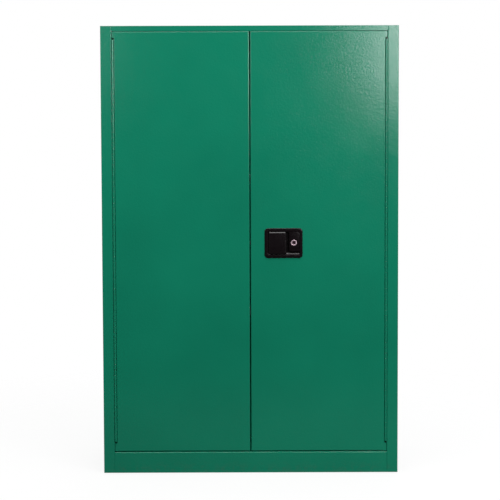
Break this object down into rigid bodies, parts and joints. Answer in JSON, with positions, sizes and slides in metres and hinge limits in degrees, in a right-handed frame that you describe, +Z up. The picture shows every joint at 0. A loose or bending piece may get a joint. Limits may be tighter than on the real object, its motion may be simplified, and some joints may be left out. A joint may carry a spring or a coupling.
{
  "type": "safety storage cabinet",
  "caption": "Tall double-walled steel storage cabinet with flush hinged doors, a paddle latch, lift-out shelves, a spill sump and capped side vents.",
  "frame": {"origin": "on the floor, at the middle of the whole object's box", "axes": "+Z up, -Y out of the doors, +X to the right as seen from the front"},
  "size_m": [1.136, 0.464, 1.651],
  "materials": {
    "green_paint": "powder coat, fine orange peel, semi gloss",
    "inner_paint": "powder coat on the inner sheets, semi gloss",
    "hinge_paint": "powder coat over rolled steel",
    "galvanised_sheet": "hot-dip galvanised, faint spangle",
    "zinc_steel": "bright zinc plated",
    "steel_screen": "woven wire",
    "black_plastic": "moulded, satin",
    "nickel_lock": "satin nickel",
    "spring_steel": "oiled spring steel"
  },
  "bodies": {
    "cabinet": {"side_panel_left": "green_paint", "side_panel_right": "green_paint", "back_panel": "green_paint", "top_panel": "green_paint", "head_stop": "green_paint", "sill_panel": "green_paint", "sill_stop": "green_paint", "keeper_top": "zinc_steel", "keeper_bottom": "zinc_steel", "base_panel": "green_paint", "floor_channels": "galvanised_sheet", "liner_left": "inner_paint", "liner_right": "inner_paint", "liner_back": "inner_paint", "liner_ceiling": "inner_paint", "sump_tray": "inner_paint", "shelf_standards": "galvanised_sheet", "shelf_clips_lower": "zinc_steel", "shelf_clips_upper": "zinc_steel", "vent_bungs": "green_paint", "vent_screens": "steel_screen", "ground_stud": "zinc_steel", "ground_nut": "zinc_steel", "foot_nuts": "zinc_steel", "hinge_frame_leaf_left": "hinge_paint", "hinge_frame_leaf_right": "hinge_paint", "hinge_pin_left": "zinc_steel", "hinge_pin_right": "zinc_steel"},
    "door_right": {"door_right_outer": "green_paint", "door_right_inner": "inner_paint", "hinge_door_leaf_right": "hinge_paint", "handle_housing": "black_plastic", "housing_clamp": "zinc_steel", "paddle_pin": "zinc_steel", "paddle_spring": "spring_steel", "rotor_axle": "zinc_steel", "bar_guides": "zinc_steel", "lock_body": "nickel_lock", "lock_nut": "nickel_lock"},
    "door_left": {"door_left_outer": "green_paint", "door_left_inner": "inner_paint", "strike_plate": "zinc_steel", "hinge_door_leaf_left": "hinge_paint"},
    "paddle": {"handle_paddle": "black_plastic"},
    "rotor": {"latch_rotor": "zinc_steel"},
    "bar_top": {"latch_bar_top": "zinc_steel"},
    "bar_bottom": {"latch_bar_bottom": "zinc_steel"},
    "bolt": {"centre_bolt": "zinc_steel"},
    "lock_cylinder": {"lock_plug": "nickel_lock", "lock_cam": "zinc_steel"},
    "lower_shelf": {"shelf_lower": "galvanised_sheet"},
    "upper_shelf": {"shelf_upper": "galvanised_sheet"},
    "left_vent_cap": {"vent_cap_left": "green_paint"},
    "right_vent_cap": {"vent_cap_right": "green_paint"},
    "front_left_foot": {"foot_front_left": "zinc_steel"},
    "front_right_foot": {"foot_front_right": "zinc_steel"},
    "back_left_foot": {"foot_back_left": "zinc_steel"},
    "back_right_foot": {"foot_back_right": "zinc_steel"}
  },
  "joints": [
    {"name": "door_right_swing", "type": "hinge", "parent": "cabinet", "child": "door_right", "pos_m": [0.5012, -0.225, 0.8568], "axis": [0, 0, 1], "range_deg": [0, 170]},
    {"name": "door_left_swing", "type": "hinge", "parent": "cabinet", "child": "door_left", "pos_m": [-0.5012, -0.225, 0.8568], "axis": [0, 0, -1], "range_deg": [0, 170]},
    {"name": "paddle_pull", "type": "hinge", "parent": "door_right", "child": "paddle", "pos_m": [0.0725, -0.226, 0.856], "axis": [0, 0, -1], "range_deg": [0, 35], "stiffness_Nm_per_rad": 1.2, "springref_deg": -28.65},
    {"name": "rotor_turn", "type": "hinge", "parent": "door_right", "child": "rotor", "pos_m": [0.0853, -0.2015, 0.876], "axis": [0, -1, 0], "range_deg": [0, 35.01]},
    {"name": "bar_top_slide", "type": "slide", "parent": "door_right", "child": "bar_top", "axis": [0, 0, -1], "range_m": [0, 0.0121]},
    {"name": "bar_bottom_slide", "type": "slide", "parent": "door_right", "child": "bar_bottom", "axis": [0, 0, 1], "range_m": [0, 0.0121]},
    {"name": "bolt_slide", "type": "slide", "parent": "door_right", "child": "bolt", "axis": [1, 0, 0], "range_m": [0, 0.0121]},
    {"name": "lock_turn", "type": "hinge", "parent": "door_right", "child": "lock_cylinder", "pos_m": [0.161, -0.215, 0.8565], "axis": [0, -1, 0], "range_deg": [0, 90]},
    {"name": "shelf_lower_lift", "type": "slide", "parent": "cabinet", "child": "lower_shelf", "axis": [0, 0, 1], "range_m": [0, 0.05]},
    {"name": "shelf_upper_lift", "type": "slide", "parent": "cabinet", "child": "upper_shelf", "axis": [0, 0, 1], "range_m": [0, 0.05]},
    {"name": "vent_cap_left_out", "type": "slide", "parent": "cabinet", "child": "left_vent_cap", "axis": [-1, 0, 0], "range_m": [0, 0.03]},
    {"name": "vent_cap_right_out", "type": "slide", "parent": "cabinet", "child": "right_vent_cap", "axis": [1, 0, 0], "range_m": [0, 0.03]},
    {"name": "foot_front_left_screw", "type": "slide", "parent": "cabinet", "child": "front_left_foot", "axis": [0, 0, -1], "range_m": [0, 0.02]},
    {"name": "foot_front_right_screw", "type": "slide", "parent": "cabinet", "child": "front_right_foot", "axis": [0, 0, -1], "range_m": [0, 0.02]},
    {"name": "foot_back_left_screw", "type": "slide", "parent": "cabinet", "child": "back_left_foot", "axis": [0, 0, -1], "range_m": [0, 0.02]},
    {"name": "foot_back_right_screw", "type": "slide", "parent": "cabinet", "child": "back_right_foot", "axis": [0, 0, -1], "range_m": [0, 0.02]}
  ],
  "couplings": [
    {"joint": "rotor_turn", "follows": "paddle_pull", "ratio": 1},
    {"joint": "bar_top_slide", "follows": "paddle_pull", "m_per_rad": 0.019693},
    {"joint": "bar_bottom_slide", "follows": "paddle_pull", "m_per_rad": 0.019693},
    {"joint": "bolt_slide", "follows": "paddle_pull", "m_per_rad": 0.019693}
  ]
}
